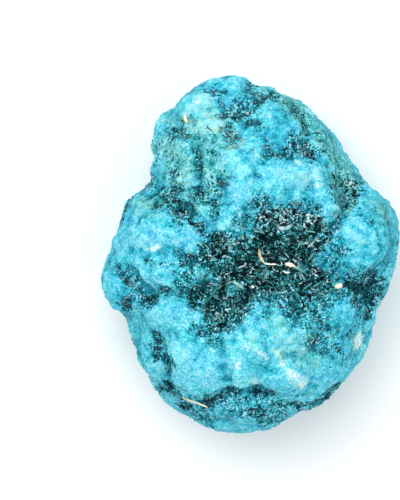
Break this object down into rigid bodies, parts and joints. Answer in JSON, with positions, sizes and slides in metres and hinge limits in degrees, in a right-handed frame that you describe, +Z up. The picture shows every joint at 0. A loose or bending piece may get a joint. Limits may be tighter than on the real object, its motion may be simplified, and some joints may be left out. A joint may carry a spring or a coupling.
{
  "type": "raw turquoise nugget",
  "caption": "Raw turquoise nugget: a lumpy, pitted blue-green pebble of rough stone with dark matrix in its hollows and seams, lying on its flattest side.",
  "frame": {"origin": "on the surface that the stone rests on, under the middle of its outline", "axes": "+Z up through the lumpy side with the dark hollow, +Y along the stone's length towards its narrow end, +X across it"},
  "size_m": [0.0299, 0.0358, 0.0203],
  "materials": {
    "turquoise": "rough natural turquoise with a waxy lustre, sugary pale grain and green-grey patches",
    "matrix": "dark gritty matrix with glittering chips",
    "grains": "pale host-rock grains, dull",
    "straw": "dry plant slivers caught in the pits"
  },
  "bodies": {
    "root": {"turquoise_nugget": "turquoise"}
  },
  "joints": []
}
